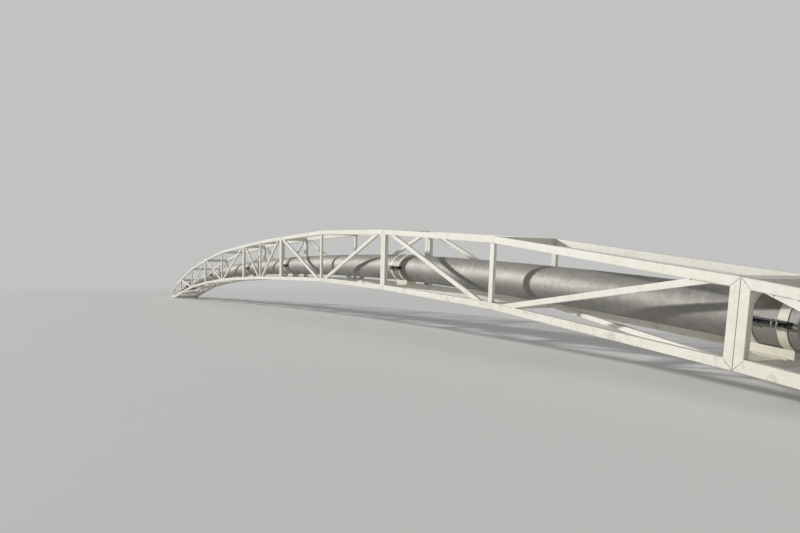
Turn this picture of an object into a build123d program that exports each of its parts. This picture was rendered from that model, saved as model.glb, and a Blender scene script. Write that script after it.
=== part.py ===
from build123d import *
from math import hypot
import os

# Panel points of one half of the arch, from the crest to the end post.
node_x = [0, 1980, 5000, 7990, 10980, 14015, 15510, 17000]
top_z = [2000, 1980, 1925, 1725, 1430, None, 660, 340]
bottom_z = [935, 915, 880, 755, 570, 250, None, 20]
foot_length = 1200

# Hollow sections.
chord = 80
chord_depth = 60
diagonal = 60
web_depth = 40
brace = 50

# Reach of a diagonal's centre line from the post, along the chord: at its foot, and at its head at each end
# of a module, the end nearer the crest first.
diagonal_foot = 150
crown_heads = (200, 200)
inner_heads = (130, 170)
outer_heads = (180, 184)
end_heads = (133, 110)

# Pipe, its supports and its room between the trusses.
carrier_d = 219.1
carrier_wall = 6.3
insulation = 100
end_spread = 230
shoe_height = 61
slide_plate_height = 8
shoe_width = 170
shoe_length = 350
slide_plate_margin = 15
slide_plate_length = 270
strap_width = 74
strap_thickness = 6
strap_spacing = 270
strap_clearance = 0.3
ear_reach = 45
ear_length = 414
ear_thickness = 10
ear_gap = 36
ear_room = 29.15
strut_room = 40.9
support_margin = 29
bend_share = 0.9
bend_pieces = 4
stub_reach = 150
open_depth = 350

# Feet.
foot_plate_length = 400
foot_plate_width = 260
foot_hole_d = 22
foot_hole_pitch_x = 320
foot_hole_pitch_y = 180

crest, joint_1, joint_2, joint_3, end_post = 0, 1, 3, 5, 7
casing_r = carrier_d / 2 + insulation
half_spacing = casing_r + strap_clearance + strap_thickness + ear_reach + ear_room + chord_depth / 2
pipe_offset = chord + slide_plate_height + shoe_height + casing_r
support_reach = ear_length / 2 + support_margin
top_z[joint_3] = bottom_z[joint_3] + pipe_offset + casing_r + strap_thickness + strut_room + chord
spread_slope = end_spread / (node_x[end_post] - node_x[joint_1])
modules = {
    4: (None, crown_heads),
    5: (joint_1, inner_heads),
    6: (joint_2, outer_heads),
    7: (joint_3, end_heads),
}


def unit(a, b):
    length = hypot(b[0] - a[0], b[1] - a[1])
    return ((b[0] - a[0]) / length, (b[1] - a[1]) / length)


def step(point, direction, distance):
    return (point[0] + direction[0] * distance, point[1] + direction[1] * distance)


def crossing(a, da, b, db):
    det = da[0] * -db[1] + da[1] * db[0]
    t = ((b[0] - a[0]) * -db[1] + (b[1] - a[1]) * db[0]) / det
    return step(a, da, t)


def slope(heights, i, j):
    return (heights[j] - heights[i]) / (node_x[j] - node_x[i])


# The bottom chord runs straight from the last joint to the heel, and lies flat from there to the end post.
heel = (node_x[end_post] - foot_length, bottom_z[end_post])
heel_slope = (heel[1] - bottom_z[joint_3]) / (heel[0] - node_x[joint_3])
bottom_z[6] = bottom_z[joint_3] + heel_slope * (node_x[6] - node_x[joint_3])


def chord_fall(i):
    """Mean slope of the bottom chord at panel point i."""
    if i in (crest, end_post):
        return 0
    return (slope(bottom_z, i - 1, i) + slope(bottom_z, i, i + 1)) / 2


def post_line(i):
    """Bottom and top outer points of the post at panel point i, square to the bottom chord there."""
    lean = -chord_fall(i) * (top_z[i] - bottom_z[i]) / 2
    bottom = (node_x[i] - lean, bottom_z[i] - lean * (slope(bottom_z, i - 1, i) if i else 0))
    top = (node_x[i] + lean, top_z[i] + lean * (slope(top_z, i, i + 1) if i < end_post else 0))
    return bottom, top


posts = [post_line(i) for i in range(end_post + 1)]


def mirrored(point):
    return (-point[0], point[1])


def module_outline(first):
    """Outer corners of a side frame: inner post, middle post and outer post, each bottom and top."""
    if first is None:
        inner = tuple(mirrored(p) for p in posts[joint_1])
        return inner, posts[crest], posts[joint_1]
    return posts[first], posts[first + 1], posts[first + 2]


def inner_half_gap(x, first=joint_1):
    """Half the clear width between the trusses of a module at a distance x from the crest."""
    parallel = half_spacing - chord_depth / 2
    return parallel if first is None else parallel + (x - node_x[joint_1]) * spread_slope


def truss_plane(end, side, first):
    """Outer face of a truss; local x runs away from the crest, and local y is up."""
    outer_y = side * (half_spacing + chord_depth / 2)
    if first is None:
        return Plane(origin=(0, outer_y, 0), x_dir=(1, 0, 0), z_dir=(0, -1, 0))
    x_dir = Vector(end, side * spread_slope, 0).normalized()
    origin = (0, outer_y - side * spread_slope * node_x[joint_1], 0)
    return Plane(origin=origin, x_dir=x_dir, z_dir=x_dir.cross(Vector(0, 0, 1)))


def stretched(points, first):
    """Lengths along a splayed truss, so that its panel points keep their distance from the crest."""
    scale = 1 if first is None else hypot(1, spread_slope)
    return [(x * scale, z) for x, z in points]


def bar_profile(a, b, width):
    along = unit(a, b)
    across = (-along[1] * width / 2, along[0] * width / 2)
    back = (-across[0], -across[1])
    return [step(a, across, 1), step(a, back, 1), step(b, back, 1), step(b, across, 1)]


def side_frame(end, side, first, heads):
    (b_in, t_in), (b_mid, t_mid), (b_out, t_out) = module_outline(first)
    floor = [b_in, b_mid, b_out]
    if first == joint_3:
        floor = [b_in, heel, b_out]
    outline = floor + [t_out, t_mid, t_in]
    sink = chord / 2
    webs = [bar_profile(step(b_mid, unit(b_mid, t_mid), sink), step(t_mid, unit(t_mid, b_mid), sink), chord)]
    for bottom, top, head in ((b_in, t_in, heads[0]), (b_out, t_out, heads[1])):
        down = unit(top, bottom)
        up = unit(b_mid, t_mid)
        head_point = step(step(top, unit(top, t_mid), head), down, sink)
        foot_point = step(step(b_mid, unit(b_mid, bottom), diagonal_foot), up, sink)
        webs.append(bar_profile(head_point, foot_point, diagonal))
    inward = (0, -side, 0)
    with BuildPart() as frame:
        with BuildSketch(truss_plane(end, side, first)):
            with BuildLine():
                Polyline(*stretched(outline, first), close=True)
            make_face()
            offset(amount=-chord, kind=Kind.INTERSECTION, mode=Mode.SUBTRACT)
        extrude(amount=chord_depth, dir=inward)
        for web in webs:
            with BuildSketch(truss_plane(end, side, first)):
                with BuildLine():
                    Polyline(*stretched(web, first), close=True)
                make_face()
            extrude(amount=web_depth, dir=inward)
    return frame.part


def corner_profile(corner, along, up):
    a = step(corner, along, chord)
    c = step(corner, up, chord)
    return [corner, a, step(a, up, chord), c]


def middle_profile(point, along, up):
    start = step(point, along, -chord / 2)
    return corner_profile(start, along, up)


def cross_profiles(first, top):
    """Side profiles of a module's cross members; the pipe leaves no room for the last two on top."""
    inner, middle, outer = module_outline(first)
    level = 1 if top else 0
    up = [unit(post[level], post[1 - level]) for post in (inner, middle, outer)]
    first_run = unit(inner[level], middle[level])
    last_run = unit(outer[level], middle[level])
    if first == joint_3 and not top:
        last_run = (-1, 0)
    profiles = [
        corner_profile(inner[level], first_run, up[0]),
        middle_profile(middle[level], first_run, up[1]),
        corner_profile(outer[level], last_run, up[2]),
    ]
    return profiles[:1] if first == joint_3 and top else profiles


def module_side(end, first):
    """Outer side outline of a module, in the XZ plane."""
    (b_in, t_in), (b_mid, t_mid), (b_out, t_out) = module_outline(first)
    floor = [b_in, heel, b_out] if first == joint_3 else [b_in, b_mid, b_out]
    return [(end * x, z) for x, z in floor + [t_out, t_mid, t_in]]


def room_outline(end, first):
    """Plan of the clear room between the trusses over one module, a little longer than the module."""
    inner, _, outer = module_outline(first)
    x_low = min(inner[0][0], inner[1][0]) - chord
    x_high = max(outer[0][0], outer[1][0]) + chord
    near_edge = [(end * x, -inner_half_gap(x, first)) for x in (x_low, x_high)]
    far_edge = [(end * x, inner_half_gap(x, first)) for x in (x_high, x_low)]
    return near_edge + far_edge


def brace_line(end, first, post, middle_post):
    """Axis of a lateral brace, from the near truss at an end post to the far truss at the middle post."""
    start = step(post[0], unit(post[0], post[1]), chord / 2)
    finish = step(middle_post[0], unit(middle_post[0], middle_post[1]), chord / 2)
    a = Vector(end * start[0], -inner_half_gap(start[0], first), start[1])
    b = Vector(end * finish[0], inner_half_gap(finish[0], first), finish[1])
    return a, b


def cross_frame(end, first, top):
    """Cross members between the trusses, trimmed to their inner faces; the floor has lateral braces too."""
    reach = inner_half_gap(node_x[end_post]) + chord_depth
    inner, middle, outer = module_outline(first)
    braces = [] if top else [brace_line(end, first, post, middle) for post in (inner, outer)]
    with BuildPart() as frame:
        for profile in cross_profiles(first, top):
            with BuildSketch(Plane.XZ):
                with BuildLine():
                    Polyline(*[(end * x, z) for x, z in profile], close=True)
                make_face()
            extrude(amount=reach, both=True)
        for a, b in braces:
            along = (b - a).normalized()
            level = Vector(0, 0, 1).cross(along)
            with BuildSketch(Plane(origin=a - along * chord, x_dir=level, z_dir=along)):
                Rectangle(brace, brace)
            extrude(amount=(b - a).length + 2 * chord)
        with BuildSketch(Plane.XY):
            with BuildLine():
                Polyline(*room_outline(end, first), close=True)
            make_face()
        extrude(amount=max(top_z) + chord, mode=Mode.INTERSECT)
        with BuildSketch(Plane.XZ):
            with BuildLine():
                Polyline(*module_side(end, first), close=True)
            make_face()
        extrude(amount=reach, both=True, mode=Mode.INTERSECT)
    return frame.part


def support_frame(i):
    """Point on the pipe axis above the joint at panel point i, and the axis direction there. Where the
    floor is hollow at the joint, the slide plate is lifted to lie on the outer edges of its two beams."""
    if i == end_post:
        return (node_x[i], bottom_z[i] + pipe_offset), (1, 0)
    along = unit((0, 0), (1, chord_fall(i)))
    hollow = max(0, slope(bottom_z, i, i + 1) - slope(bottom_z, i - 1, i)) / 2
    lift = hollow * min(chord, slide_plate_length / 2)
    return step(posts[i][0], (-along[1], along[0]), pipe_offset + lift), along


def between(a, b, share):
    return (a[0] + (b[0] - a[0]) * share, a[1] + (b[1] - a[1]) * share)


def pipe_axis(first):
    """Axis of a casing length: straight on its supports, along the bottom chord between them, and turned
    at mid-module in short straight lengths, as the sheet of a slight bend is."""
    inner, middle, outer = module_outline(first)
    if first is None:
        last, last_dir = support_frame(joint_1)
        start, start_dir = mirrored(last), (last_dir[0], -last_dir[1])
    else:
        start, start_dir = support_frame(first)
        last, last_dir = support_frame(first + 2)
    leaving = step(start, start_dir, support_reach)
    arriving = step(last, last_dir, -support_reach)
    rising = unit(inner[0], middle[0])
    falling = last_dir if first == joint_3 else unit(middle[0], outer[0])
    bend = crossing(leaving, rising, arriving, falling)
    bend_reach = bend_share * min(hypot(bend[0] - p[0], bend[1] - p[1]) for p in (leaving, arriving))
    bend_start = step(bend, rising, -bend_reach)
    bend_end = step(bend, falling, bend_reach)
    points = [start, leaving]
    for k in range(bend_pieces + 1):
        share = k / bend_pieces
        points.append(between(between(bend_start, bend, share), between(bend, bend_end, share), share))
    return points + ([last] if first == joint_3 else [arriving, last])


def casing(end, first):
    """One length of the casing, with a section square to its axis at each end and mitred at each turn."""
    axis = pipe_axis(first)
    runs = [unit(a, b) for a, b in zip(axis, axis[1:])]
    mitres = [unit((-a[0], -a[1]), b) for a, b in zip(runs, runs[1:])]
    directions = [runs[0], *mitres, runs[-1]]
    with BuildPart() as pipe:
        for (x, z), along in zip(axis, directions):
            section = Plane(origin=(end * x, 0, z), x_dir=(0, end, 0), z_dir=(end * along[0], 0, along[1]))
            with BuildSketch(section):
                Circle(casing_r)
        loft(ruled=True)
        if first == joint_3:
            x, z = axis[-1]
            with BuildSketch(Plane(origin=(end * x, 0, z), z_dir=(-end, 0, 0))):
                Circle(carrier_d / 2 - carrier_wall)
            extrude(amount=open_depth, mode=Mode.SUBTRACT)
    return pipe.part


def pipe_stub(end):
    (x, z), _ = support_frame(end_post)
    with BuildPart() as stub:
        with BuildSketch(Plane(origin=(end * x, 0, z), z_dir=(end, 0, 0))):
            Circle(carrier_d / 2)
            Circle(carrier_d / 2 - carrier_wall, mode=Mode.SUBTRACT)
        extrude(amount=stub_reach)
        tip = stub.faces().filter_by(GeomType.PLANE).sort_by(Axis((0, 0, 0), (end, 0, 0)))[-1]
        chamfer(tip.outer_wire().edges(), length=carrier_wall / 3)
    return stub.part


def support_plane(end, i, shift=0.0):
    """Plane square to the pipe at a joint; local x is across the bridge, and local y away from the deck."""
    point, along = support_frame(i)
    x, z = step(point, along, shift)
    across = Vector(0, end, 0)
    return Plane(origin=(end * x, 0, z), x_dir=across, z_dir=(end * along[0], 0, along[1]))


supports = [(end, i) for end in (-1, 1) for i in (joint_3, joint_2, joint_1)]


def straps(upper):
    """Clamp halves: two bands on each support, joined at their ends by an ear bar along either side."""
    inner_r = casing_r + strap_clearance
    outer_r = inner_r + strap_thickness
    way = 1 if upper else -1
    ear_level = way * (ear_gap + ear_thickness) / 2
    ear_middle = inner_r + (strap_thickness + ear_reach) / 2
    with BuildPart() as halves:
        for end, i in supports:
            for shift in (-strap_spacing / 2, strap_spacing / 2):
                with BuildSketch(support_plane(end, i, shift)):
                    Circle(outer_r)
                    Circle(inner_r, mode=Mode.SUBTRACT)
                    with Locations((0, way * (ear_gap / 2 - 2 * outer_r))):
                        Rectangle(4 * outer_r, 4 * outer_r, mode=Mode.SUBTRACT)
                extrude(amount=strap_width / 2, both=True)
            with BuildSketch(support_plane(end, i)):
                with Locations((ear_middle, ear_level), (-ear_middle, ear_level)):
                    Rectangle(strap_thickness + ear_reach, ear_thickness)
                Circle(inner_r, mode=Mode.SUBTRACT)
            extrude(amount=ear_length / 2, both=True)
    return halves.part


def shoes():
    """Box shoes, hollowed on top to the curve of the straps that hold them to the pipe."""
    saddle_r = casing_r + strap_thickness + 2 * strap_clearance
    base = casing_r + shoe_height
    side_height = base - (saddle_r**2 - (shoe_width / 2) ** 2) ** 0.5
    with BuildPart() as boxes:
        for end, i in supports:
            with BuildSketch(support_plane(end, i)):
                with Locations((0, side_height / 2 - base)):
                    Rectangle(shoe_width, side_height)
                Circle(saddle_r, mode=Mode.SUBTRACT)
            extrude(amount=shoe_length / 2, both=True)
    return boxes.part


def slide_plates():
    middle = -(casing_r + shoe_height + slide_plate_height / 2)
    with BuildPart() as plates:
        for end, i in supports:
            with BuildSketch(support_plane(end, i)):
                with Locations((0, middle)):
                    Rectangle(shoe_width + 2 * slide_plate_margin, slide_plate_height)
            extrude(amount=slide_plate_length / 2, both=True)
    return plates.part


def foot_centre(side):
    x = node_x[end_post] - foot_plate_length / 2
    y = half_spacing + (x - node_x[joint_1]) * spread_slope
    return x, side * y


def foot_plates(end):
    with BuildPart() as plates:
        for side in (-1, 1):
            x, y = foot_centre(side)
            with BuildSketch(Plane.XY):
                with Locations((end * x, y)):
                    Rectangle(foot_plate_length, foot_plate_width)
                    with GridLocations(foot_hole_pitch_x, foot_hole_pitch_y, 2, 2):
                        Circle(foot_hole_d / 2, mode=Mode.SUBTRACT)
            extrude(amount=bottom_z[end_post])
    return plates.part


def save(part, name):
    part.label = name
    export_step(part, f"parts/{name}.step")


os.makedirs("parts", exist_ok=True)
for number in range(1, 8):
    end = -1 if number < 4 else 1
    first, heads = modules[4 + abs(number - 4)]
    save(side_frame(end, -1, first, heads), f"near_frame_{number}")
    save(side_frame(end, 1, first, heads), f"far_frame_{number}")
    save(cross_frame(end, first, top=False), f"floor_frame_{number}")
    save(cross_frame(end, first, top=True), f"top_struts_{number}")
    save(casing(end, first), f"casing_{number}")
save(straps(upper=True), "strap_uppers")
save(straps(upper=False), "strap_lowers")
save(shoes(), "pipe_shoes")
save(slide_plates(), "slide_plates")
for end, word in ((-1, "left"), (1, "right")):
    save(pipe_stub(end), f"pipe_stub_{word}")
    save(foot_plates(end), f"foot_plates_{word}")
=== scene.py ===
from math import asin, ceil, cos, hypot, pi, radians, sin, tan

import bmesh
import bpy
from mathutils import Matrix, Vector


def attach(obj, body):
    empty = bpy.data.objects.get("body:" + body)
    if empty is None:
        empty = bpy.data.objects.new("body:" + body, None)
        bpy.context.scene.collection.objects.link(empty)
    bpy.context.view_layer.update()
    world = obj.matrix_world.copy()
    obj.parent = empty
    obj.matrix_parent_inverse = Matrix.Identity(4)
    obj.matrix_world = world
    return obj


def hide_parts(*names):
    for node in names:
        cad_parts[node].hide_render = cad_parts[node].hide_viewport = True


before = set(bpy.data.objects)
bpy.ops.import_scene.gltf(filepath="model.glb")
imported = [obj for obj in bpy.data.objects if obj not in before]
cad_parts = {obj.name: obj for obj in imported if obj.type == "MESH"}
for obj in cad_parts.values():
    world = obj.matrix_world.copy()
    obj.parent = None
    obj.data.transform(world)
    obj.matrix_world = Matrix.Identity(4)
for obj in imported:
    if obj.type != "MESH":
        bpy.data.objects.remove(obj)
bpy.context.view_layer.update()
print("frame loaded:", len(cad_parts), "nodes")

bridge = {
    # panel points of one half of the arch, from the crest to the end post
    "x": [0, 1.98, 5.0, 7.99, 10.98, 14.015, 15.818, 17.0],
    "top": [2.0, 1.98, 1.925, 1.725, 1.43, 0.945, 0.597, 0.34],
    "bottom": [0.935, 0.915, 0.88, 0.755, 0.57, 0.25, None, 0.02],
    "footLength": 1.2,
    "chord": 0.08, "chordDepth": 0.06, "diagonal": 0.06, "webDepth": 0.04, "brace": 0.05,
    "endFloor": 0.1,  # the bottom chord of an end module
    "halfSpacing": 0.32, "endSpread": 0.23,
}
joints = (1, 3, 5)  # panel points where two modules meet, which also carry the pipe
endStart, endPost = 5, 7  # panel points where an end module starts and ends
moduleCount, crown = 7, 4  # modules are numbered from left to right
quarters = ((-1, -1), (-1, 1), (1, -1), (1, 1))  # the end and side of each

# modules counted from the crown: the panel point where each starts, and how far along the chords
# its diagonals' heads stand from the end posts, and their feet from the middle post
modules = {
    4: {"first": None, "heads": (0.2, 0.2), "feet": (0.15, 0.15)},
    5: {"first": 1, "heads": (0.13, 0.17), "feet": (0.15, 0.15)},
    6: {"first": 3, "heads": (0.18, 0.184), "feet": (0.15, 0.15)},
    7: {"first": 5, "heads": (0.1465, 0.11), "feet": (-0.01, 0.15)},
}
pipe = {
    "casingR": 0.20955, "carrierR": 0.10955,
    "openDepth": 0.35,
    "shoeHeight": 0.061, "slidePlateHeight": 0.008,
}
pipe["offset"] = bridge["chord"] + pipe["slidePlateHeight"] + pipe["shoeHeight"] + pipe["casingR"]
bridge["spread"] = bridge["endSpread"] / (bridge["x"][endPost] - bridge["x"][1])
tiny = 1e-6


# plane geometry of a side frame, in metres from the crest and above the floor

def unit(a, b):
    length = hypot(b[0] - a[0], b[1] - a[1])
    return ((b[0] - a[0]) / length, (b[1] - a[1]) / length)


def step(point, way, distance):
    return (point[0] + way[0] * distance, point[1] + way[1] * distance)


def between(a, b, share):
    return tuple(p + (q - p) * share for p, q in zip(a, b))


def crossing(a, wayA, b, wayB):
    det = wayA[0] * -wayB[1] + wayA[1] * wayB[0]
    t = ((b[0] - a[0]) * -wayB[1] + (b[1] - a[1]) * wayB[0]) / det
    return step(a, wayA, t)


def mirrored(point):
    return (-point[0], point[1])


def slope(heights, i, j):
    return (heights[j] - heights[i]) / (bridge["x"][j] - bridge["x"][i])


heel = (bridge["x"][endPost] - bridge["footLength"], bridge["bottom"][endPost])
heelSlope = (heel[1] - bridge["bottom"][endStart]) / (heel[0] - bridge["x"][endStart])
heelRun = bridge["x"][endStart + 1] - bridge["x"][endStart]
bridge["bottom"][endStart + 1] = bridge["bottom"][endStart] + heelSlope * heelRun


def chordFall(i):
    if i in (0, endPost):
        return 0
    return (slope(bridge["bottom"], i - 1, i) + slope(bridge["bottom"], i, i + 1)) / 2


def postLine(i):
    # a post stands square to the bottom chord, and turns about its middle
    top, bottom = bridge["top"], bridge["bottom"]
    lean = -chordFall(i) * (top[i] - bottom[i]) / 2
    low = (bridge["x"][i] - lean, bottom[i] - lean * (slope(bottom, i - 1, i) if i else 0))
    high = (bridge["x"][i] + lean, top[i] + lean * (slope(top, i, i + 1) if i < endPost else 0))
    return low, high


posts = [postLine(i) for i in range(endPost + 1)]


def modulePosts(first):
    if first is None:
        return tuple(mirrored(p) for p in posts[1]), posts[0], posts[1]
    return posts[first], posts[first + 1], posts[first + 2]


def insetOutline(outline, sizes):
    corners = []
    count = len(outline)
    for k in range(count):
        wayIn = unit(outline[k - 1], outline[k])
        wayOut = unit(outline[k], outline[(k + 1) % count])
        a = step(outline[k - 1], (-wayIn[1], wayIn[0]), sizes[k - 1])
        b = step(outline[k], (-wayOut[1], wayOut[0]), sizes[k])
        straight = abs(wayIn[0] * wayOut[1] - wayIn[1] * wayOut[0]) < tiny
        corners.append(b if straight else crossing(a, wayIn, b, wayOut))
    return corners


def halfGap(x, first):
    # from the middle of the bridge to a side frame's inner face, which spreads past the crown
    parallel = bridge["halfSpacing"] - bridge["chordDepth"] / 2
    return parallel if first is None else parallel + (x - bridge["x"][1]) * bridge["spread"]


def trussPlace(end, side, first):
    # depth runs from the outer face of the truss to its inner face
    def place(point, depth):
        outer = halfGap(point[0], first) + bridge["chordDepth"]
        return Vector((end * point[0], side * (outer - depth), point[1]))
    return place


# mesh helpers

def turns(count):
    return [2 * pi * k / count for k in range(count)]


def shares(count):
    return [k / count for k in range(count + 1)]


def edged(low, high, edge):
    # the insets and levels of a body with a fine bevel round both faces
    return ((edge, low), (0, low + edge), (0, high - edge), (edge, high))


def roundedLoop(corners, radius, steps=4):
    loop = []
    count = len(corners)
    for k, corner in enumerate(corners):
        back, ahead = unit(corner, corners[k - 1]), unit(corner, corners[(k + 1) % count])
        cosine = back[0] * ahead[0] + back[1] * ahead[1]
        half = asin(((1 - cosine) / 2) ** 0.5)  # half of the corner's angle
        reach = radius / tan(half)
        start, finish = step(corner, back, reach), step(corner, ahead, reach)
        middle = unit(corner, between(start, finish, 0.5))
        centre = step(corner, middle, radius / sin(half))
        a, b = unit(centre, start), unit(centre, finish)
        whole = pi - 2 * half
        for share in shares(steps):
            s, t = sin(whole * (1 - share)) / sin(whole), sin(whole * share) / sin(whole)
            loop.append(tuple(c + radius * (p * s + q * t) for c, p, q in zip(centre, a, b)))
    return loop


def boxLoop(width, depth, radius, steps=4, inset=0.0):
    half = width / 2 - inset
    corners = [(-half, inset), (half, inset), (half, depth - inset), (-half, depth - inset)]
    return roundedLoop(corners, radius, steps)


def loft(bm, rings, cyclic=False, material=0):
    loops = [[bm.verts.new(point) for point in ring] for ring in rings]
    count = len(loops[0])
    pairs = list(zip(loops, loops[1:])) + ([(loops[-1], loops[0])] if cyclic else [])
    for a, b in pairs:
        for k in range(count):
            after = (k + 1) % count
            bm.faces.new((a[k], a[after], b[after], b[k])).material_index = material
    if not cyclic:
        bm.faces.new(loops[0]).material_index = material
        bm.faces.new(loops[-1]).material_index = material


weld = {
    "radius": 0.0042, "spacing": 0.009, "sides": 6,
    "ripple": 0.22, "rippleTurns": (2.4, 0.37, 9), "inset": 0.0024, "cornerSteps": 2,
    "finish": 1,  # its place among the finishes of a piece
}


def bead(bm, path, level, radius=weld["radius"], closed=True):
    # a weld bead along a path, with the uneven ripples of a hand weld
    points = [Vector(p) for p in path]
    if closed:
        points.append(points[0])
    samples = []
    for a, b in zip(points, points[1:]):
        pieces = max(1, ceil((b - a).length / weld["spacing"]))
        samples += [a.lerp(b, k / pieces) for k in range(pieces)]
    if not closed:
        samples.append(points[-1])
    count = len(samples)
    level = Vector(level).normalized()
    quick, slow, drift = weld["rippleTurns"]
    rings = []
    for k, point in enumerate(samples):
        before = samples[k - 1] if closed or k else point
        after = samples[(k + 1) % count] if closed or k + 1 < count else point
        along = (after - before).normalized()
        out = along.cross(level).normalized()
        up = out.cross(along)
        size = radius * (1 + weld["ripple"] * sin(k * quick) * sin(k * slow + point.x * drift))
        ring = []
        for turn in turns(weld["sides"]):
            corner = point + out * cos(turn) * size + up * sin(turn) * size
            corner.z = min(corner.z, bridge["top"][0])  # ground flush along the crest
            ring.append(corner)
        rings.append(ring)
    loft(bm, rings, cyclic=closed, material=weld["finish"])


def addObject(name, data):
    thing = bpy.data.objects.new(name, data)
    bpy.context.scene.collection.objects.link(thing)
    return thing


def addMesh(name, bm, finishes):
    mesh = bpy.data.meshes.new(name)
    bm.to_mesh(mesh)
    bm.free()
    for finish in finishes:
        mesh.materials.append(finish)
    return addObject(name, mesh)


sharpAngle = radians(35)


def finishPiece(name, bm, finishes, nodes=()):
    bmesh.ops.recalc_face_normals(bm, faces=bm.faces)
    piece = addMesh(name, bm, finishes)
    piece.data.shade_smooth()
    piece.data.set_sharp_from_angle(angle=sharpAngle)
    weighted = piece.modifiers.new("weighted", "WEIGHTED_NORMAL")
    weighted.keep_sharp = True
    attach(piece, "root")
    if nodes:
        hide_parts(*nodes)


# shader maths: a wrapped socket, whose operators add Math nodes

class Wire:
    def __init__(self, tree, socket):
        self.tree, self.socket = tree, socket

    def calc(self, operation, other):
        node = self.tree.nodes.new("ShaderNodeMath")
        node.operation = operation
        plug(self, node.inputs[0])
        plug(other, node.inputs[1])
        return Wire(self.tree, node.outputs[0])

    def __add__(self, other):
        return self.calc("ADD", other)

    def __sub__(self, other):
        return self.calc("SUBTRACT", other)

    def __rsub__(self, other):
        return (self * -1) + other

    def __mul__(self, other):
        return self.calc("MULTIPLY", other)

    def highest(self, other):
        return self.calc("MAXIMUM", other)

    __radd__, __rmul__ = __add__, __mul__


def plug(item, entry):
    if isinstance(item, Wire):
        item.tree.links.new(item.socket, entry)
    elif isinstance(item, tuple) and len(item) == 3 and entry.type == "RGBA":
        entry.default_value = (*item, 1)
    else:
        entry.default_value = item


class Shading:
    def __init__(self, tree):
        self.tree = tree

    def node(self, kind, settings=None, sockets=None):
        node = self.tree.nodes.new(kind)
        for key, value in (settings or {}).items():
            setattr(node, key, value)
        for key, value in (sockets or {}).items():
            plug(value, node.inputs[key])
        return node

    def wire(self, node, socket=0):
        return Wire(self.tree, node.outputs[socket])

    def tint(self, share, a, b):
        node = self.node("ShaderNodeMix", {"data_type": "RGBA"}, {0: share, 6: a, 7: b})
        return self.wire(node, 2)

    def layered(self, look, layers):
        # the look's colour with others laid over it, each by its share
        colour = look["colour"]
        for share, name in layers:
            colour = self.tint(share, colour, look[name])
        return colour

    def seen(self):
        # 1 where the camera looks, by itself or by way of gloss or glass
        rays = self.node("ShaderNodeLightPath")
        looks = self.wire(rays, "Is Camera Ray").highest(self.wire(rays, "Is Glossy Ray"))
        return looks.highest(self.wire(rays, "Is Transmission Ray"))


class Finish(Shading):
    def __init__(self, name, uniform):
        self.material = bpy.data.materials.new(name)
        self.material.use_nodes = True
        super().__init__(self.material.node_tree)
        self.shader = self.tree.nodes["Principled BSDF"]
        for socket, value in uniform.items():
            plug(value, self.shader.inputs[socket])
        self.place = self.wire(self.node("ShaderNodeTexCoord"), "Object")

    def stretched(self, scale):
        sockets = {"Vector": self.place, "Scale": Vector(scale)}
        return self.wire(self.node("ShaderNodeMapping", None, sockets))

    def noise(self, scale, detail=3.0, rough=0.5, place=None, warp=0.0):
        sockets = {"Vector": place or self.place, "Scale": scale, "Detail": detail,
                   "Roughness": rough, "Distortion": warp}
        return self.wire(self.node("ShaderNodeTexNoise", None, sockets))

    def cells(self, scale):
        sockets = {"Vector": self.place, "Scale": scale}
        return self.wire(self.node("ShaderNodeTexVoronoi", {"feature": "F1"}, sockets))

    def ease(self, value, low, high):
        sockets = {"Value": value, "From Min": low, "From Max": high}
        node = self.node("ShaderNodeMapRange", {"interpolation_type": "SMOOTHSTEP"}, sockets)
        return self.wire(node)

    def upness(self):
        normal = self.wire(self.node("ShaderNodeNewGeometry"), "Normal")
        return self.wire(self.node("ShaderNodeSeparateXYZ", None, {0: normal}), 2)

    def relief(self, height, distance, strength):
        sockets = {"Height": height, "Distance": distance, "Strength": strength}
        return self.wire(self.node("ShaderNodeBump", None, sockets))

    def put(self, **values):
        names = {"colour": "Base Color", "rough": "Roughness", "metal": "Metallic",
                 "normal": "Normal"}
        for key, value in values.items():
            plug(value, self.shader.inputs[names[key]])
        return self.material


paintLook = {
    "colour": (0.84, 0.825, 0.745),
    "yellowed": (0.78, 0.75, 0.635),
    "grime": (0.34, 0.32, 0.27),
    # the dust colour, which also darkens faces that point down as painted shade
    "dust": (0.60, 0.585, 0.52),
    "rust": (0.20, 0.085, 0.035),
    "rough": 0.42,
    # how strongly each kind of dirt and damage shows; the under share paints shade on faces that
    # point down
    "dusty": 0.55, "streaks": 0.22, "blotches": 0.25, "spots": 0.3, "under": 0.3, "chips": 0.8,
    "relief": 0.0007,
}
lowerLook = {**paintLook, "blotches": 0.6}
supportLook = {**paintLook, "colour": (0.77, 0.735, 0.63), "yellowed": (0.67, 0.63, 0.52)}


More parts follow.
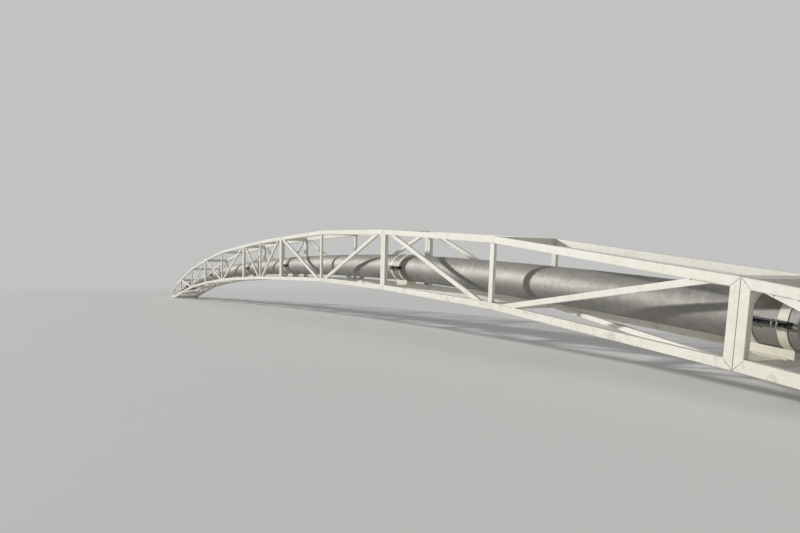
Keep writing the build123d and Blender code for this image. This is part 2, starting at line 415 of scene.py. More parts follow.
def steelPaint(name, look, weldRipple=False):
    finish = Finish(name, {"Specular IOR Level": 0.45, "Coat Weight": 0.08, "Coat Roughness": 0.3})
    up = finish.upness()
    broad = finish.noise(1.6, 4, 0.55)
    patch = finish.noise(11, 5, 0.62)
    fine = finish.noise(70, 4, 0.6)
    grain = finish.noise(420, 2, 0.5)
    runs = finish.noise(15, 4, 0.6, finish.stretched((1, 1, 0.12)), 0.6)
    specks = finish.cells(46)
    yellowing = finish.ease(broad * 0.6 + patch * 0.4, 0.42, 0.66)
    dust = finish.ease(up, 0.3, 0.95) * finish.ease(patch, 0.3, 0.75) * look["dusty"]
    streak = finish.ease(runs, 0.54, 0.8) * (1 - finish.ease(up, -0.2, 0.6)) * look["streaks"]
    blotch = finish.noise(9, 6, 0.68, warp=0.5)
    blotch = finish.ease(blotch, 0.52, 0.66) * finish.ease(fine, 0.36, 0.6) * look["blotches"]
    spots = finish.ease(fine, 0.6, 0.72) * finish.ease(broad, 0.42, 0.62) * look["spots"]
    # painted shade: faces that point down are darkened toward the dust colour
    under = finish.ease(up * -1, 0.5, 0.98) * look["under"]
    layers = [(yellowing, "yellowed"), (dust, "dust"), (streak, "grime"), (blotch, "grime"),
              (spots, "grime"), (under, "dust")]
    chips = (1 - finish.ease(specks, 0.035, 0.075)) * finish.ease(patch, 0.54, 0.64)
    if weldRipple:
        # the rough bead is darker all over and in patches, with rust here and there
        layers.append((finish.ease(patch + fine, 0.7, 1.15) * 0.5 + 0.4, "grime"))
        chips = chips.highest(finish.ease(patch * 0.5 + fine * 0.5, 0.52, 0.66) * 0.3)
    layers.append((chips * look["chips"], "rust"))
    rough = look["rough"] + patch * 0.12 + dust * 0.3 + streak * 0.2 + chips * 0.3 - 0.04
    height = grain * 0.18 + fine * 0.35 - chips * 0.8 + dust * 0.4
    if weldRipple:
        height = height + finish.noise(190, 2, 0.5) * 1.4
    return finish.put(colour=finish.layered(look, layers), rough=rough,
                      normal=finish.relief(height, look["relief"], 0.6))


sheetLook = {
    "colour": (0.345, 0.335, 0.31),
    "dull": (0.25, 0.245, 0.23),
    "dust": (0.33, 0.31, 0.265),
    "rough": 0.58, "metal": 0.86,
    "rolled": 0.22, "dusty": 0.35, "drops": 0.3,
    "relief": 0.0006,
}


def casingSheet(name, look):
    finish = Finish(name, {"Specular IOR Level": 0.5})
    up = finish.upness()
    clouds = finish.noise(2.2, 5, 0.6, finish.stretched((0.45, 1, 1)))
    patch = finish.noise(14, 5, 0.6, warp=0.4)
    rolled = finish.noise(36, 3, 0.6, finish.stretched((0.03, 1, 1)))
    spangle = finish.cells(85)
    fine = finish.noise(300, 2, 0.5)
    dulled = finish.ease(clouds * 0.55 + patch * 0.45, 0.4, 0.64)
    bands = finish.ease(rolled, 0.45, 0.75) * look["rolled"]
    dust = finish.ease(up, 0.35, 1.0) * finish.ease(patch, 0.28, 0.7) * look["dusty"]
    drops = (1 - finish.ease(finish.cells(34), 0.05, 0.1)) * finish.ease(patch, 0.5, 0.62)
    layers = ((dulled, "dull"), (bands, "dull"), (dust, "dust"), (drops * look["drops"], "dust"))
    rough = look["rough"] + clouds * 0.1 + dust * 0.5 + rolled * 0.06 + spangle * 0.04
    height = rolled * 0.5 + fine * 0.12 + spangle * 0.2 + finish.noise(5, 2, 0.5) * 2.5
    return finish.put(colour=finish.layered(look, layers), rough=rough,
                      metal=look["metal"] - dust * 0.9,
                      normal=finish.relief(height, look["relief"], 0.5))


screwLook = {"colour": (0.62, 0.61, 0.59), "dull": (0.44, 0.44, 0.43), "rough": 0.22}
earLook = {"colour": (0.15, 0.15, 0.152), "dull": (0.09, 0.09, 0.095), "rough": 0.58}


def zincSteel(name, look):
    finish = Finish(name, {"Specular IOR Level": 0.5})
    spangle = finish.cells(120)
    patch = finish.noise(60, 4, 0.6)
    dulled = finish.ease(spangle * 0.5 + patch * 0.5, 0.25, 0.6)
    normal = finish.relief(patch + finish.noise(500, 2, 0.5) * 0.3, 0.0004, 0.4)
    return finish.put(colour=finish.layered(look, [(dulled, "dull")]), normal=normal,
                      rough=patch * 0.2 + look["rough"], metal=0.85 - patch * 0.15)


rustLook = {
    "colour": (0.16, 0.145, 0.135),
    "rust": (0.27, 0.125, 0.06),
    "pits": (0.11, 0.05, 0.028),
    "rough": 0.62,
}


def rustedSteel(name, look):
    finish = Finish(name, {"Specular IOR Level": 0.4})
    patch = finish.noise(18, 6, 0.65)
    fine = finish.noise(130, 5, 0.65)
    layers = ((finish.ease(patch, 0.4, 0.6), "rust"), (finish.ease(fine, 0.45, 0.7) * 0.6, "pits"))
    return finish.put(colour=finish.layered(look, layers), rough=look["rough"] + fine * 0.25,
                      metal=finish.ease(patch * -1, -0.5, -0.36) * 0.5,
                      normal=finish.relief(fine + patch * 0.6, 0.0012, 0.7))


# near-black: real rubber for the collar at the pipe ends, and painted shade for the vent caps and
# the strip between the clamp ears
rubberAndShadeLook = {"colour": (0.018, 0.018, 0.019), "pale": (0.05, 0.05, 0.048)}
# near-black colour of the painted shade strips in the module joints
jointShadeLook = {"colour": (0.06, 0.052, 0.045), "pale": (0.16, 0.13, 0.10)}


def darkFilling(name, look):
    finish = Finish(name, {"Specular IOR Level": 0.4})
    fine = finish.noise(240, 3, 0.6)
    return finish.put(colour=finish.layered(look, [(fine, "pale")]), rough=0.55 + fine * 0.25,
                      normal=finish.relief(fine, 0.0003, 0.5))


framePaint = steelPaint("framePaint", paintLook)
lowerPaint = steelPaint("lowerPaint", lowerLook)
weldPaint = steelPaint("weldPaint", paintLook, weldRipple=True)
supportPaint = steelPaint("supportPaint", supportLook)
sheetMetal = casingSheet("sheetMetal", sheetLook)
screwZinc = zincSteel("screwZinc", screwLook)
dullZinc = zincSteel("dullZinc", earLook)
rustSteel = rustedSteel("rustSteel", rustLook)
rubberAndShadeFill = darkFilling("rubberAndShadeFill", rubberAndShadeLook)
jointShade = darkFilling("jointShade", jointShadeLook)
print("finishes made")


# side frames

sideFrame = {
    "tubeRadius": 0.005, "webRadius": 0.004, "sink": 0.006,
    "finishes": (framePaint, weldPaint, rubberAndShadeFill, lowerPaint),
    "ventShadeFinish": 2, "floorFinish": 3,
    "ventShare": (0.68, 0.12), "ventDrop": 0.004, "ventRadius": 0.006, "ventSides": 16,
    "ventProfile": ((1.0, -0.002), (1.0, 0.0), (0.86, 0.0006), (0.45, 0.0008)),
    "jointWidth": 0.0056, "jointDepth": 0.0007,
}


def cutLoop(place, point, along, cut, loop):
    # the section of a tube, where a line in the plane of the frame cuts the tube off
    across = (-along[1], along[0])
    return [place(crossing(step(point, across, p), along, *cut), w) for p, w in loop]


def addTube(bm, place, point, along, section, cuts, material=0):
    loop = boxLoop(*section)
    loft(bm, [cutLoop(place, point, along, cut, loop) for cut in cuts], material=material)


def weldTube(bm, place, point, along, section, cut):
    loop = boxLoop(*section, weld["cornerSteps"], weld["inset"])
    level = place(step(point, along, 1), 0) - place(point, 0)
    bead(bm, cutLoop(place, point, along, cut, loop), level)


def sunk(line, outward):
    point, way = line
    return step(point, outward, sideFrame["sink"]), way


def addWeb(bm, place, point, along, width, up, footLine, headLine):
    # a post or a diagonal, sunk a little into the chords and welded to them
    section = (width, bridge["webDepth"], sideFrame["webRadius"])
    cuts = (sunk(footLine, (-up[0], -up[1])), sunk(headLine, up))
    addTube(bm, place, point, along, section, cuts)
    for line in (footLine, headLine):
        weldTube(bm, place, point, along, section, line)


# a near-black cap that paints the shade inside an open vent hole
def addVentShade(bm, centre, place):
    rings = []
    for share, out in sideFrame["ventProfile"]:
        size = sideFrame["ventRadius"] * share
        rings.append([place((centre[0] + cos(turn) * size, centre[1] + sin(turn) * size), -out)
                      for turn in turns(sideFrame["ventSides"])])
    loft(bm, rings, material=sideFrame["ventShadeFinish"])


def addChords(bm, place, outline, inner, sizes):
    count = len(outline)
    for k in range(count):
        after = (k + 1) % count
        along = unit(outline[k], outline[after])
        middle = step(outline[k], (-along[1], along[0]), sizes[k] / 2)
        section = (sizes[k], bridge["chordDepth"], sideFrame["tubeRadius"])
        cuts = [(outline[n], unit(outline[n], inner[n])) for n in (k, after)]
        material = sideFrame["floorFinish"] if k < 2 else 0
        addTube(bm, place, middle, along, section, cuts, material)
        weldTube(bm, place, middle, along, section, cuts[0])


def makeSideFrame(end, side, number, module):
    first = module["first"]
    place = trussPlace(end, side, first)
    (lowIn, highIn), (lowMid, highMid), (lowOut, highOut) = modulePosts(first)
    outline = [lowIn, lowMid, lowOut, highOut, highMid, highIn]
    floorSize = bridge["endFloor"] if first == endStart else bridge["chord"]
    sizes = [floorSize] * 2 + [bridge["chord"]] * 4
    inner = insetOutline(outline, sizes)
    bm = bmesh.new()
    addChords(bm, place, outline, inner, sizes)

    up = unit(lowMid, highMid)
    levelWay = (up[1], -up[0])
    floorIn, floorOut = unit(inner[0], inner[1]), unit(inner[1], inner[2])
    roofOut, roofIn = unit(inner[3], inner[4]), unit(inner[4], inner[5])
    postFoot = crossing(inner[0], floorIn, lowMid, up)
    addWeb(bm, place, lowMid, up, bridge["chord"], up, (postFoot, levelWay), (inner[4], levelWay))

    diagonals = (
        (lowIn, highIn, (inner[0], floorIn), (inner[5], roofIn), (-1, 1)),
        (lowOut, highOut, (inner[1], floorOut), (inner[4], roofOut), (1, -1)),
    )
    for k, (low, high, footLine, headLine, edgeWays) in enumerate(diagonals):
        headPoint = step(high, unit(high, highMid), module["heads"][k])
        headPoint = step(headPoint, unit(high, low), bridge["chord"] / 2)
        footPoint = step(lowMid, unit(lowMid, low), module["feet"][k])
        footPoint = step(footPoint, up, floorSize / 2)
        along = unit(footPoint, headPoint)
        addWeb(bm, place, footPoint, along, bridge["diagonal"], up, footLine, headLine)
        # a near-black domed cap on the vent hole in the diagonal's head, just under the weld:
        # painted shade of the open hole
        across = (-along[1] * bridge["diagonal"] / 2, along[0] * bridge["diagonal"] / 2)
        edges = [crossing(step(footPoint, across, way), along, *headLine) for way in edgeWays]
        vent = between(*edges, sideFrame["ventShare"][k])
        addVentShade(bm, step(vent, up, -sideFrame["ventDrop"]), place)
    word = "near" if side < 0 else "far"
    finishPiece(f"{word}Frame{number}", bm, sideFrame["finishes"],
                (f"{word}_frame_{number}",))


def makeJointShadeStrips():
    # a near-black strip in the joint between two modules' end posts, just below the face of the
    # tubes: painted shade of the groove between their rounded corners
    deep, half = sideFrame["jointDepth"], sideFrame["jointWidth"] / 2
    back = bridge["chordDepth"] - deep
    bm = bmesh.new()
    for end, side in quarters:
        place = trussPlace(end, side, joints[0])
        for i in joints:
            low, high = posts[i]
            up = unit(low, high)
            tips = (step(low, up, deep), step(high, up, -deep))
            rings = []
            for shift in (-half, half):
                a, b = [step(p, (up[1], -up[0]), shift) for p in tips]
                rings.append([place(a, deep), place(b, deep), place(b, back), place(a, back)])
            loft(bm, rings)
    finishPiece("jointShadeStrips", bm, (jointShade,))


moduleList = []
for number in range(1, moduleCount + 1):
    end = -1 if number < crown else 1
    module = modules[crown + abs(number - crown)]
    moduleList.append((number, end, module["first"]))
    for side in (-1, 1):
        makeSideFrame(end, side, number, module)
makeJointShadeStrips()
print("side frames made")


# cross members between the side frames

crossMembers = {"radius": 0.005, "braceRadius": 0.004, "weldShare": 0.955, "weldSink": 0.001}


def cornerProfile(corner, along, up):
    size = bridge["chord"]
    a, c = step(corner, along, size), step(corner, up, size)
    return [corner, a, step(a, up, size), c]


def crossProfiles(first, top):
    level = 1 if top else 0
    inner, middle, outer = modulePosts(first)
    up = [unit(post[level], post[1 - level]) for post in (inner, middle, outer)]
    firstRun, lastRun = unit(inner[level], middle[level]), unit(outer[level], middle[level])
    middleRun = firstRun
    if first == endStart and not top:
        lastRun, middleRun = (-1, 0), (1, 0)
    profiles = [
        cornerProfile(inner[level], firstRun, up[0]),
        cornerProfile(step(middle[level], middleRun, -bridge["chord"] / 2), middleRun, up[1]),
        cornerProfile(outer[level], lastRun, up[2]),
    ]
    return profiles[:1] if first == endStart and top else profiles


def makeCrossFrame(end, first, top, number):
    crest = bridge["top"][0]
    radius, sink = crossMembers["radius"], crossMembers["weldSink"]
    bm = bmesh.new()
    for profile in crossProfiles(first, top):
        loop = roundedLoop(profile, radius)
        loft(bm, [[(end * x, side * halfGap(x, first), min(z, crest)) for x, z in loop]
                  for side in (-1, 1)])
        centre = between(profile[0], profile[2], 0.5)
        path = [between(centre, p, crossMembers["weldShare"])
                for p in roundedLoop(profile, radius, weld["cornerSteps"])]
        for side in (-1, 1):
            points = [(end * x, side * (halfGap(x, first) - sink), z) for x, z in path]
            bead(bm, points, (0, 1, 0))
    if not top:
        inner, middle, outer = modulePosts(first)
        for post in (inner, outer):
            addBrace(bm, end, first, post, middle)
    word, node = ("topStruts", "top_struts") if top else ("floorFrame", "floor_frame")
    finishPiece(f"{word}{number}", bm, (framePaint, weldPaint),
                (f"{node}_{number}",))


def addBrace(bm, end, first, post, middle):
    start = step(post[0], unit(post[0], post[1]), bridge["chord"] / 2)
    finish = step(middle[0], unit(middle[0], middle[1]), bridge["chord"] / 2)
    a = Vector((end * start[0], -halfGap(start[0], first), start[1]))
    b = Vector((end * finish[0], halfGap(finish[0], first), finish[1]))
    along = (b - a).normalized()
    level = Vector((0, 0, 1)).cross(along).normalized()
    over = along.cross(level)
    size, radius = bridge["brace"], crossMembers["braceRadius"]
    rings, welds = [], []
    for side in (-1, 1):
        for inset, rows in ((0, rings), (weld["inset"], welds)):
            row = []
            for p, w in boxLoop(size, size, radius, inset=inset):
                q = a + level * p + over * (w - size / 2)
                # where the brace meets the side frame's inner face
                t = (side * halfGap(abs(q.x), first) - q.y) / along.y
                row.append(q + along * t)
            rows.append(row)
    loft(bm, rings)
    for path in welds:
        bead(bm, path, along)


for number, end, first in moduleList:
    for top in (False, True):
        makeCrossFrame(end, first, top, number)
print("cross members made")


# pipe: sheet casing with lapped joints, and the bare carrier ends

casing = {
    "segments": 96, "supportReach": 0.236,
    "bendShare": 0.9, "bendPieces": 4, "bendClear": 0.06,
    "sheetLength": 1.0,
    "lap": 0.0011, "lapWidth": 0.035, "lapStep": 0.0006, "lapTaper": 0.004, "lapClear": 0.05,
    "screws": 10, "screwRadius": 0.0042, "screwSides": 10, "screwFinish": 1,
    "screwProfile": ((1.0, -0.001), (1.0, 0.00066), (0.8, 0.00176), (0.35, 0.0022)),
    "seamAngle": radians(-128), "seamWidth": 0.03, "seamLift": 0.0009, "seamCrown": 0.001,
    "seamPieces": 12, "seamPitch": 0.16,
}


def supportFrame(i):
    # the pipe axis over a panel point: where it is, and the way that it runs
    if i == endPost:
        return (bridge["x"][endPost], bridge["bottom"][endPost] + pipe["offset"]), (1, 0)
    along = unit((0, 0), (1, chordFall(i)))
    return step(posts[i][0], (-along[1], along[0]), pipe["offset"]), along


def pipeAxis(first):
    # straight over the supports, with one soft bend between them
    inner, middle, outer = modulePosts(first)
    if first is None:
        last, lastWay = supportFrame(1)
        start, startWay = mirrored(last), (lastWay[0], -lastWay[1])
    else:
        start, startWay = supportFrame(first)
        last, lastWay = supportFrame(first + 2)
    leaving = step(start, startWay, casing["supportReach"])
    arriving = step(last, lastWay, -casing["supportReach"])
    rising = unit(inner[0], middle[0])
    falling = lastWay if first == endStart else unit(middle[0], outer[0])
    bend = crossing(leaving, rising, arriving, falling)
    room = min(hypot(bend[0] - p[0], bend[1] - p[1]) for p in (leaving, arriving))
    reach = casing["bendShare"] * room
    bendStart, bendEnd = step(bend, rising, -reach), step(bend, falling, reach)
    points = [start, leaving]
    for share in shares(casing["bendPieces"]):
        a, b = between(bendStart, bend, share), between(bend, bendEnd, share)
        points.append(between(a, b, share))
    return points + ([last] if first == endStart else [arriving, last])


def ringStations(axis):
    # stations along the axis with their height: a sheet ends in a lap over the next one
    lengths = [hypot(b[0] - a[0], b[1] - a[1]) for a, b in zip(axis, axis[1:])]
    total = sum(lengths)
    lap, width = casing["lap"], casing["lapWidth"]
    clear = casing["supportReach"] + casing["lapClear"]
    count = max(1, round((total - 2 * clear) / casing["sheetLength"]))
    laps = [clear + (total - 2 * clear) * share for share in shares(count)]
    stations = [(0.0, 0.0)]
    for s in laps:
        stations += [(s - casing["lapStep"], 0.0), (s, lap), (s + width, lap),
                     (s + width + casing["lapTaper"], 0.0)]
    stations.append((total, 0.0))
    at = 0.0
    for length in lengths[:-1]:
        at += length
        if all(abs(at - s) > casing["bendClear"] for s in laps):
            stations.append((at, 0.0))
    return sorted(stations), laps, total


def onAxis(axis, distance):
    at = 0.0
    runs = [unit(a, b) for a, b in zip(axis, axis[1:])]
    for k, (a, b) in enumerate(zip(axis, axis[1:])):
        length = hypot(b[0] - a[0], b[1] - a[1])
        last = k == len(runs) - 1
        if distance <= at + length + tiny or last:
            way = runs[k]
            if abs(distance - at - length) < tiny and not last:
                way = unit((-runs[k][0], -runs[k][1]), runs[k + 1])
            return step(a, runs[k], distance - at), way
        at += length


def pipePoint(end, point, way, radius, turn):
    # turn is measured from the near side, upwards
    up = sin(turn) * radius
    x, z = point[0] - way[1] * up, point[1] + way[0] * up
    return Vector((end * x, -cos(turn) * radius, z))


def pipeRing(end, point, way, radius, count):
    return [pipePoint(end, point, way, radius, turn) for turn in turns(count)]


def addScrew(bm, base, out):
    out = out.normalized()
    side = out.orthogonal().normalized()
    other = out.cross(side)
    rings = []
    for share, lift in casing["screwProfile"]:
        size = casing["screwRadius"] * share
        rings.append([base + out * lift + (side * cos(turn) + other * sin(turn)) * size
                      for turn in turns(casing["screwSides"])])
    loft(bm, rings, material=casing["screwFinish"])


def addPipeScrew(bm, end, axis, s, lift, turn):
    point, way = onAxis(axis, s)
    base = pipePoint(end, point, way, pipe["casingR"] + lift, turn)
    addScrew(bm, base, base - pipePoint(end, point, way, 0, 0))


def makeCasing(number, end, first):
    axis = pipeAxis(first)
    stations, laps, total = ringStations(axis)
    bm = bmesh.new()
    rings = []
    for s, lift in stations:
        rings.append(pipeRing(end, *onAxis(axis, s), pipe["casingR"] + lift, casing["segments"]))
    if first == endStart:
        addEndCap(bm, rings, end, axis[-1])
    else:
        loft(bm, rings)
    for s in laps:
        for k in range(casing["screws"]):
            turn = casing["seamAngle"] + 2 * pi * (k + 0.5) / casing["screws"]
            addPipeScrew(bm, end, axis, s + casing["lapWidth"] / 2, casing["lap"], turn)
    addSeam(bm, end, axis, total)
    finishPiece(f"casing{number}", bm, (sheetMetal, screwZinc, rubberAndShadeFill),
                (f"casing_{number}",))


def addSeam(bm, end, axis, total):
    # the lengthwise lap, low on the far side, with a row of screws
    clear = casing["supportReach"]
    width = casing["seamWidth"] / pipe["casingR"]
    lift, crownLift = casing["seamLift"], casing["seamCrown"]
    section = ((0, -crownLift), (0, lift), (width * 0.5, crownLift), (width, lift),
               (width, -crownLift))
    rings = []
    for share in shares(casing["seamPieces"]):
        point, way = onAxis(axis, clear + (total - 2 * clear) * share)
        rings.append([pipePoint(end, point, way, pipe["casingR"] + out, casing["seamAngle"] + turn)
                      for turn, out in section])
    loft(bm, rings)
    for k in range(int((total - 2 * clear) / casing["seamPitch"])):
        s = clear + casing["seamPitch"] * (k + 0.5)
        addPipeScrew(bm, end, axis, s, lift, casing["seamAngle"] + width / 2)


endCap = {
    "rim": ((0.003, 0.0), (0.004, -0.0012)),  # inset from the casing, and how far out
    "disc": (0.15, -0.0012),  # radius of the flat, and how far out
    "bore": 0.0006,
    # how much wider than the bore, and how far out
    "collar": ((0.018, -0.003), (0.017, 0.002), (0.006, 0.0065), (-0.0004, 0.008),
               (-0.0004, -0.003)),
    "collarSides": 64, "collarFinish": 2,
    "screws": 8, "screwInset": 0.016,
}


def addEndCap(bm, rings, end, point):
    # a flat disc with a turned rim, a bore, and a rubber collar round the carrier
    inner = pipe["carrierR"] + endCap["bore"]
    depth = endCap["disc"][1]
    profile = [(pipe["casingR"] - inset, out) for inset, out in endCap["rim"]]
    profile += [endCap["disc"], (inner, depth), (inner, -pipe["openDepth"])]
    way = (1, 0)
    for radius, out in profile:
        rings.append(pipeRing(end, step(point, way, out), way, radius, casing["segments"]))
    loft(bm, rings)
    collar = [pipeRing(end, step(point, way, out), way, inner + more, endCap["collarSides"])
              for more, out in endCap["collar"]]
    loft(bm, collar, cyclic=True, material=endCap["collarFinish"])
    for k in range(endCap["screws"]):
        turn = 2 * pi * (k + 0.5) / endCap["screws"]
        base = pipePoint(end, point, way, pipe["casingR"] - endCap["screwInset"], turn)
        addScrew(bm, base + Vector((end * depth, 0, 0)), Vector((end, 0, 0)))


stub = {"wall": 0.0063, "reach": 0.15, "bevelShare": 1 / 3, "rootFace": 0.0021, "sides": 80}


def makeStub(end, word):
    (x, z), way = supportFrame(endPost)
    outer, inner, reach = pipe["carrierR"], pipe["carrierR"] - stub["wall"], stub["reach"]
    bevel = stub["wall"] * stub["bevelShare"]
    # from inside the casing to the bevelled end, and back along the bore
    profile = (
        (outer, 0.002 - pipe["openDepth"]), (outer, reach - 0.0035),
        (outer - bevel * 0.5, reach - 0.0012), (outer - bevel, reach),
        (inner + stub["rootFace"], reach), (inner, reach - 0.001),
        (inner, 0.006 - pipe["openDepth"]),
    )
    bm = bmesh.new()
    loft(bm, [pipeRing(end, (x + out, z), way, radius, stub["sides"]) for radius, out in profile])
    finishPiece(f"carrierStub{word}", bm, (rustSteel,),
                (f"pipe_stub_{word.lower()}",))


for number, end, first in moduleList:
    makeCasing(number, end, first)
makeStub(-1, "Left")
makeStub(1, "Right")
print("pipe made")


# clamps, shoes and slide plates

clamp = {
    "gap": 0.0003, "thickness": 0.006, "width": 0.074, "spacing": 0.27,
    "edge": 0.0018, "pieces": 48,
    "earGap": 0.028, "earThickness": 0.008, "earReach": 0.045, "earLength": 0.414,
    "earCorner": 0.006, "earEdge": 0.001, "earFinish": 2,
    # the near-black strip between the ears paints the ear's shadow on the casing
    "gapShadeThickness": 0.0015, "gapShadePieces": 6, "gapShadeFinish": 3,
    "weldRadius": 0.0038, "weldLift": 0.0008, "weldOut": 0.003,
}
clamp["low"] = pipe["casingR"] + clamp["gap"]
clamp["high"] = clamp["low"] + clamp["thickness"]


def supportPlace(end, i):
    # across the bridge, square up from the pipe axis, and along it away from the crest
    point, along = supportFrame(i)

    def place(q, n, s):
        x = point[0] + along[0] * s - along[1] * n
        z = point[1] + along[1] * s + along[0] * n
        return Vector((end * x, q, z))
    return place


supports = [supportPlace(end, i) for end in (-1, 1) for i in reversed(joints)]


def addStrap(bm, place, way, shift):
    low, high, half = clamp["low"], clamp["high"], clamp["width"] / 2
    corners = [(low, shift - half), (high, shift - half), (high, shift + half), (low, shift + half)]
    section = roundedLoop(corners, clamp["edge"], 2)
    start = asin((clamp["earGap"] / 2 + clamp["earEdge"]) / low)
    rings = []
    for share in shares(clamp["pieces"]):
        turn = start + (pi - 2 * start) * share
        rings.append([place(r * cos(turn), way * r * sin(turn), s) for r, s in section])
    loft(bm, rings)


def addEarWeld(bm, place, side, way, shift):
    n = way * (clamp["earGap"] / 2 + clamp["earThickness"] + clamp["weldLift"])
    strapMiddle = (clamp["low"] + clamp["high"]) / 2
    q = side * (strapMiddle**2 - n**2) ** 0.5 + side * clamp["weldOut"]
    half = clamp["width"] / 2
    path = [place(q, n, shift - half), place(q, n, shift + half)]
    bead(bm, path, (0, 1, 0), clamp["weldRadius"], closed=False)


def addEar(bm, place, side, way):
    gap = clamp["earGap"] / 2
    inner = (clamp["low"] ** 2 - gap**2) ** 0.5
    outer = clamp["high"] + clamp["earReach"]
    half = clamp["earLength"] / 2
    corners = [(inner, -half), (outer, -half), (outer, half), (inner, half)]
    rings = []
    for inset, level in edged(0, clamp["earThickness"], clamp["earEdge"]):
        ring = []
        for q, s in roundedLoop(corners, clamp["earCorner"]):
            q -= inset if q > (inner + outer) / 2 else 0
            s -= inset if s > 0 else -inset
            ring.append(place(side * q, way * (gap + level), s))
        rings.append(ring)
    loft(bm, rings, material=clamp["earFinish"])


def addEarGapShade(bm, place, side):
    # a near-black strip on the casing between the two ears: painted shadow of the upper ear
    thick = clamp["gapShadeThickness"]
    reach = asin(clamp["earGap"] / 2 / pipe["casingR"])
    section = []
    for radius, way in ((pipe["casingR"] + thick, 1), (pipe["casingR"] - thick, -1)):
        for share in shares(clamp["gapShadePieces"]):
            turn = way * reach * (2 * share - 1)
            section.append((radius * cos(turn), radius * sin(turn)))
    half = clamp["earLength"] / 2
    rings = [[place(side * q, n, s) for q, n in section] for s in (-half, half)]
    loft(bm, rings, material=clamp["gapShadeFinish"])


def makeStraps(upper):
    way = 1 if upper else -1
    shifts = (-clamp["spacing"] / 2, clamp["spacing"] / 2)
    bm = bmesh.new()
    for place in supports:
        for shift in shifts:
            addStrap(bm, place, way, shift)
        for side in (-1, 1):
            addEar(bm, place, side, way)
            if not upper:
                addEarGapShade(bm, place, side)
            for shift in shifts:
                addEarWeld(bm, place, side, way, shift)
    name, node = ("strapUppers", "strap_uppers") if upper else ("strapLowers", "strap_lowers")
    finishPiece(name, bm, (supportPaint, weldPaint, dullZinc, rubberAndShadeFill),
                (node,))


bolt = {
    "places": (-0.077, -0.116, 0.077, 0.116), "out": 0.028,
    "radius": 0.008,
    "headWidth": 0.024, "headHeight": 0.008, "nutHeight": 0.010, "threadOut": 0.004,
    "hexTurn": 0.3, "hexEdge": 0.0012, "hexShares": (0.93, 1.0, 1.0, 0.9),
    "washerRadius": 0.015, "washerHeight": 0.0025,
    "sides": 20, "edge": 0.0006,
}


def addHex(bm, place, q, s, low, high):
    edge = bolt["hexEdge"]
    rings = []
    for share, level in zip(bolt["hexShares"], (low, low + edge, high - edge, high)):
        corner = bolt["headWidth"] / 2 / cos(pi / 6) * share
        rings.append([place(q + corner * cos(turn + bolt["hexTurn"]), level,
                            s + corner * sin(turn + bolt["hexTurn"])) for turn in turns(6)])
    loft(bm, rings)


def addRound(bm, place, q, s, radius, low, high):
    rings = []
    for inset, level in edged(low, high, bolt["edge"]):
        size = radius - inset
        rings.append([place(q + size * cos(turn), level, s + size * sin(turn))
                      for turn in turns(bolt["sides"])])
    loft(bm, rings)


def makeBolts():
    bm = bmesh.new()
    face = clamp["earGap"] / 2 + clamp["earThickness"]
    top = face + bolt["washerHeight"]
    nutEnd = -top - bolt["nutHeight"]
    for place in supports:
        for side in (-1, 1):
            q = side * (clamp["high"] + bolt["out"])
            for s in bolt["places"]:
                addRound(bm, place, q, s, bolt["washerRadius"], face, top)
                addRound(bm, place, q, s, bolt["washerRadius"], -top, -face)
                addHex(bm, place, q, s, top, top + bolt["headHeight"])
                addHex(bm, place, q, s, nutEnd, -top)
                addRound(bm, place, q, s, bolt["radius"], nutEnd - bolt["threadOut"], top)
    finishPiece("clampBolts", bm, (screwZinc,))


shoe = {
    "width": 0.17, "length": 0.35,
    "edge": 0.004, "edgeShare": 0.3, "cornerPieces": 4,
    "arcPieces": 16, "rimDrop": 0.002, "rimInset": 0.0015,
    "weldReach": 0.13, "weldRadius": 0.0036, "weldOut": 0.0005, "weldLift": 0.001,
}
shoe["base"] = pipe["casingR"] + pipe["shoeHeight"]


def shoeOutline():
    # a box with rounded lower edges, hollowed on top to the curve of the clamps
    base, half, edge = shoe["base"], shoe["width"] / 2, shoe["edge"]
    saddle = pipe["casingR"] + clamp["thickness"] + 2 * clamp["gap"]
    rim = -((saddle**2 - half**2) ** 0.5) - shoe["rimDrop"]
    loop = []
    for q, n, start in ((-half + edge, -base + edge, pi), (half - edge, -base + edge, 1.5 * pi)):
        for share in shares(shoe["cornerPieces"]):
            turn = start + pi / 2 * share
            loop.append((q + edge * cos(turn), n + edge * sin(turn)))
    loop.append((half, rim))
    arc = asin((half - shoe["rimInset"]) / saddle)
    for share in shares(shoe["arcPieces"]):
        turn = arc * (1 - 2 * share)
        loop.append((saddle * sin(turn), -saddle * cos(turn)))
    loop.append((-half, rim))
    return loop


def makeShoes():
    base, half, edge = shoe["base"], shoe["width"] / 2, shoe["edge"]
    small, length = edge * shoe["edgeShare"], shoe["length"] / 2
    halfHeight = pipe["shoeHeight"] / 2
    middle = -base + halfHeight
    stations = ((-length, edge), (-length + small, small), (-length + edge, 0),
                (length - edge, 0), (length - small, small), (length, edge))
    outline = shoeOutline()
    bm = bmesh.new()
    for place in supports:
        rings = []
        for s, inset in stations:
            shareQ, shareN = 1 - inset / half, 1 - inset / halfHeight
            rings.append([place(q * shareQ, middle + (n - middle) * shareN, s)
                          for q, n in outline])
        loft(bm, rings)
        for side in (-1, 1):
            q, n = side * (half + shoe["weldOut"]), -base + shoe["weldLift"]
            path = [place(q, n, s) for s in (-shoe["weldReach"], shoe["weldReach"])]
            bead(bm, path, (0, 0, 1), shoe["weldRadius"], closed=False)
    finishPiece("pipeShoes", bm, (supportPaint, weldPaint), ("pipe_shoes",))


slidePlate = {"margin": 0.015, "length": 0.27, "corner": 0.004, "edge": 0.0012}


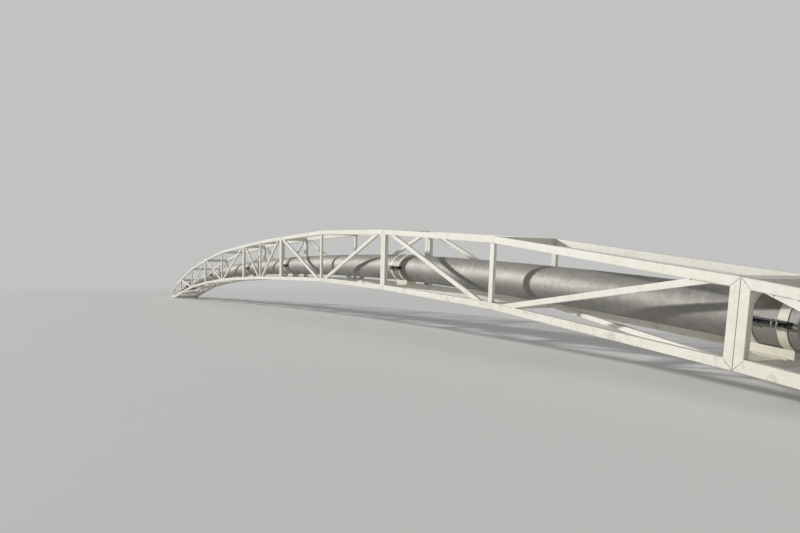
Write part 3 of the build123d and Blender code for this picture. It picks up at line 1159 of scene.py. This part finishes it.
def makeSlidePlates():
    half = shoe["width"] / 2 + slidePlate["margin"]
    length = slidePlate["length"] / 2
    bm = bmesh.new()
    for place in supports:
        rings = []
        for inset, level in edged(0, pipe["slidePlateHeight"], slidePlate["edge"]):
            q, s = half - inset, length - inset
            loop = roundedLoop([(-q, -s), (q, -s), (q, s), (-q, s)], slidePlate["corner"], 3)
            rings.append([place(q, -shoe["base"] - level, s) for q, s in loop])
        loft(bm, rings)
    finishPiece("slidePlates", bm, (supportPaint,), ("slide_plates",))


makeStraps(True)
makeStraps(False)
makeBolts()
makeShoes()
makeSlidePlates()
print("supports made")


# feet: the CAD plates keep their shape, with welds along the chords that stand on them

feet = {"plateLength": 0.4, "weldRadius": 0.0055, "weldInset": 0.004, "weldLift": 0.0005}


def makeFootWelds():
    bm = bmesh.new()
    x, z = bridge["x"][endPost], bridge["bottom"][endPost] + feet["weldLift"]
    for end, side in quarters:
        place = trussPlace(end, side, endStart)
        for depth in (feet["weldInset"], bridge["chordDepth"] - feet["weldInset"]):
            path = [place((x - feet["plateLength"], z), depth), place((x, z), depth)]
            bead(bm, path, (0, 0, 1), feet["weldRadius"], closed=False)
    finishPiece("footWelds", bm, (weldPaint, weldPaint))


for word in ("left", "right"):
    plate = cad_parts[f"foot_plates_{word}"]
    plate.data.materials.clear()
    plate.data.materials.append(framePaint)
makeFootWelds()
print("feet made")


# studio: pale floor, soft sun, and a plain grey backdrop for the camera and gloss

studio = {
    "floorReach": 400, "floorColour": (0.80, 0.795, 0.785), "floorShade": 0.985,
    "backdrop": (0.54, 0.54, 0.535),
    "fadeStart": 20, "fadeEnd": 62, "fadeStretch": (0.8, 1, 1),
    "ambient": 0.32,
    "sunStrength": 2.75, "sunAngle": 3, "sunColour": (1.0, 0.99, 0.97),
    "sunFrom": (-0.708, -0.623, 0.33),
}


def makeFloor():
    bm = bmesh.new()
    reach = studio["floorReach"]
    corners = ((-reach, -reach), (reach, -reach), (reach, reach), (-reach, reach))
    bm.faces.new([bm.verts.new((x, y, 0)) for x, y in corners])
    finish = Finish("floorPaper", {"Roughness": 0.9, "Specular IOR Level": 0.1})
    pale = studio["floorColour"]
    shaded = tuple(c * studio["floorShade"] for c in pale)
    finish.put(colour=finish.tint(finish.noise(3, 4, 0.5), pale, shaded),
               normal=finish.relief(finish.noise(60, 3), 0.0004, 0.2))
    # far from the object the floor fades to the grey of the backdrop, for the camera and gloss
    apart = finish.node("ShaderNodeVectorMath", {"operation": "LENGTH"},
                        {0: finish.stretched(studio["fadeStretch"])})
    fade = finish.ease(finish.wire(apart, "Value"), studio["fadeStart"], studio["fadeEnd"])
    glow = finish.node("ShaderNodeEmission", None, {"Color": studio["backdrop"], "Strength": 1.0})
    shaders = {0: fade * finish.seen(), 1: finish.wire(finish.shader), 2: finish.wire(glow)}
    both = finish.node("ShaderNodeMixShader", None, shaders)
    plug(finish.wire(both), finish.tree.nodes["Material Output"].inputs["Surface"])
    floor = addMesh("studioFloor", bm, (finish.material,))


def makeWorld():
    world = bpy.data.worlds.new("studioWorld")
    bpy.context.scene.world = world
    world.use_nodes = True
    sky = Shading(world.node_tree)
    colour = sky.tint(sky.seen(), (studio["ambient"],) * 3, studio["backdrop"])
    plug(colour, sky.tree.nodes["Background"].inputs["Color"])


def makeSun():
    light = bpy.data.lights.new("studioSun", "SUN")
    light.energy = studio["sunStrength"]
    light.angle = radians(studio["sunAngle"])
    light.color = studio["sunColour"]
    lamp = addObject("studioSun", light)
    lamp.rotation_mode = "QUATERNION"
    lamp.rotation_quaternion = Vector(studio["sunFrom"]).to_track_quat("Z", "Y")


camera = {
    "location": (16.797, -4.720, 0.915),
    "heading": 27.543, "pitch": 1.2556,
    "lens": 27.43, "sensor": 36, "clip": (0.05, 400),
}


def makeCamera():
    data = bpy.data.cameras.new("photoCamera")
    data.sensor_width = camera["sensor"]
    data.lens = camera["lens"]
    data.clip_start, data.clip_end = camera["clip"]
    eye = addObject("photoCamera", data)
    heading, pitch = radians(camera["heading"]), radians(camera["pitch"])
    look = Vector((-cos(heading) * cos(pitch), sin(heading) * cos(pitch), sin(pitch)))
    eye.location = camera["location"]
    eye.rotation_euler = look.to_track_quat("-Z", "Y").to_euler()
    bpy.context.scene.camera = eye


makeFloor()
makeWorld()
makeSun()
makeCamera()
bpy.context.scene.view_settings.view_transform = "Standard"
print("studio made")
